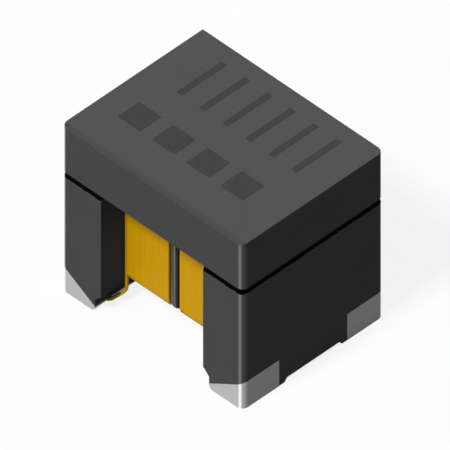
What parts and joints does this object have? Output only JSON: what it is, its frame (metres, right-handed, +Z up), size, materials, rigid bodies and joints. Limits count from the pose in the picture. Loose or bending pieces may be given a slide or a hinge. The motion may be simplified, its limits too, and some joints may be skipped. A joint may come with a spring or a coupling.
{
  "type": "smd common mode choke",
  "caption": "Surface-mount common mode choke: ferrite drum core closed by a bonded ferrite plate, side-by-side enamelled copper windings and tinned corner terminals.",
  "frame": {"origin": "centre of the footprint, on the plane of the terminal undersides", "axes": "+X along the body through both flanges, +Y across it away from the front window, +Z up from the board"},
  "size_m": [0.0032, 0.0024, 0.0028],
  "materials": {
    "ferrite": "matte pressed ferrite",
    "ferrite_plate": "matte pressed ferrite",
    "adhesive": "cured black adhesive",
    "enamelled_copper": "glossy clear enamel",
    "tin_plating": "matte tin plating",
    "solder": "satin solder"
  },
  "bodies": {
    "root": {"drum_core": "ferrite", "top_plate": "ferrite_plate", "glue_left": "adhesive", "glue_right": "adhesive", "winding_left": "enamelled_copper", "winding_right": "enamelled_copper", "terminal_front_left": "tin_plating", "solder_front_left": "solder", "terminal_front_right": "tin_plating", "solder_front_right": "solder", "terminal_back_left": "tin_plating", "solder_back_left": "solder", "terminal_back_right": "tin_plating", "solder_back_right": "solder"}
  },
  "joints": []
}
